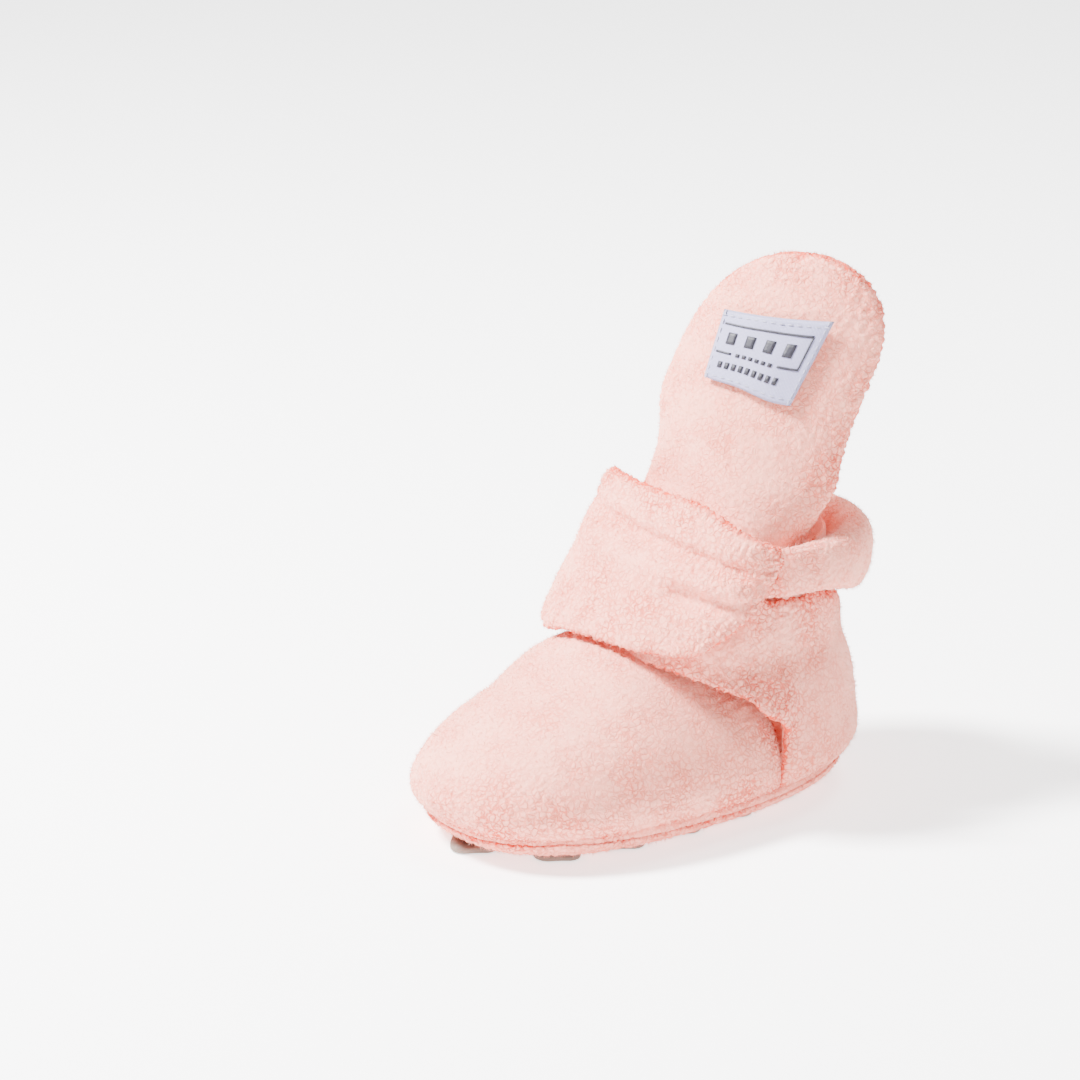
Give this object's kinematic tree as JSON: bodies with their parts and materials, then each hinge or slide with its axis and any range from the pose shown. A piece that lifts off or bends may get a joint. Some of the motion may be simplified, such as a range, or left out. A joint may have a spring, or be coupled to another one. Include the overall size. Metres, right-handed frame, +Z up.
{
  "type": "baby bootie",
  "caption": "Soft padded baby bootie with rubbery sole grips, a wrap strap closed by hook and loop tape, a gathered ankle collar and a tall tongue that folds forward.",
  "frame": {"origin": "flat ground face of the grip in the middle of the sole", "axes": "-Y towards the toe, +X towards the side where the strap fastens, +Z up"},
  "size_m": [0.0668, 0.1177, 0.123],
  "materials": {
    "fleece": "short curly polyester fleece, soft pink",
    "sole_fleece": "curly polyester fleece, soft pink",
    "lining_fleece": "brushed polyester lining, soft pink",
    "wadding": "polyester wadding, off-white",
    "silicone_grip": "moulded soft rubber, matte warm grey",
    "hook_tape": "nylon hook tape",
    "loop_tape": "nylon loop tape",
    "elastic": "woven elastic",
    "woven_label": "woven satin label with dark woven marks"
  },
  "bodies": {
    "bootie": {"collar_band": "fleece", "collar_lining": "lining_fleece", "footbed_lining": "lining_fleece", "grip_cloud_01": "silicone_grip", "grip_cloud_02": "silicone_grip", "grip_cloud_03": "silicone_grip", "grip_cloud_04": "silicone_grip", "grip_cloud_05": "silicone_grip", "grip_cloud_06": "silicone_grip", "grip_cloud_07": "silicone_grip", "grip_cloud_08": "silicone_grip", "grip_cloud_09": "silicone_grip", "grip_cloud_10": "silicone_grip", "grip_cloud_11": "silicone_grip", "grip_cloud_12": "silicone_grip", "grip_cloud_13": "silicone_grip", "grip_cloud_14": "silicone_grip", "grip_cloud_15": "silicone_grip", "grip_cloud_16": "silicone_grip", "grip_cloud_17": "silicone_grip", "grip_cloud_18": "silicone_grip", "heel_elastic": "elastic", "loop_patch": "loop_tape", "outsole": "sole_fleece", "quarter_lining": "lining_fleece", "quarter_outer": "fleece", "sole_padding": "wadding", "strap_anchor": "fleece", "tongue_base": "fleece", "vamp_lining": "lining_fleece", "vamp_outer": "fleece"},
    "strap": {"strap_outer": "fleece", "strap_lining": "lining_fleece", "hook_patch": "hook_tape"},
    "tongue_flap": {"tongue_outer": "fleece", "tongue_padding": "wadding", "tongue_lining": "lining_fleece", "label": "woven_label"}
  },
  "joints": [
    {"name": "strap_peel", "type": "hinge", "parent": "bootie", "child": "strap", "pos_m": [-0.03161, 0.00639, 0.042], "axis": [-0.0513, -0.367, -0.9288], "range_deg": [0, 110]},
    {"name": "tongue_fold", "type": "hinge", "parent": "bootie", "child": "tongue_flap", "pos_m": [0, 0.01597, 0.07847], "axis": [1, 0, 0], "range_deg": [0, 100]}
  ]
}
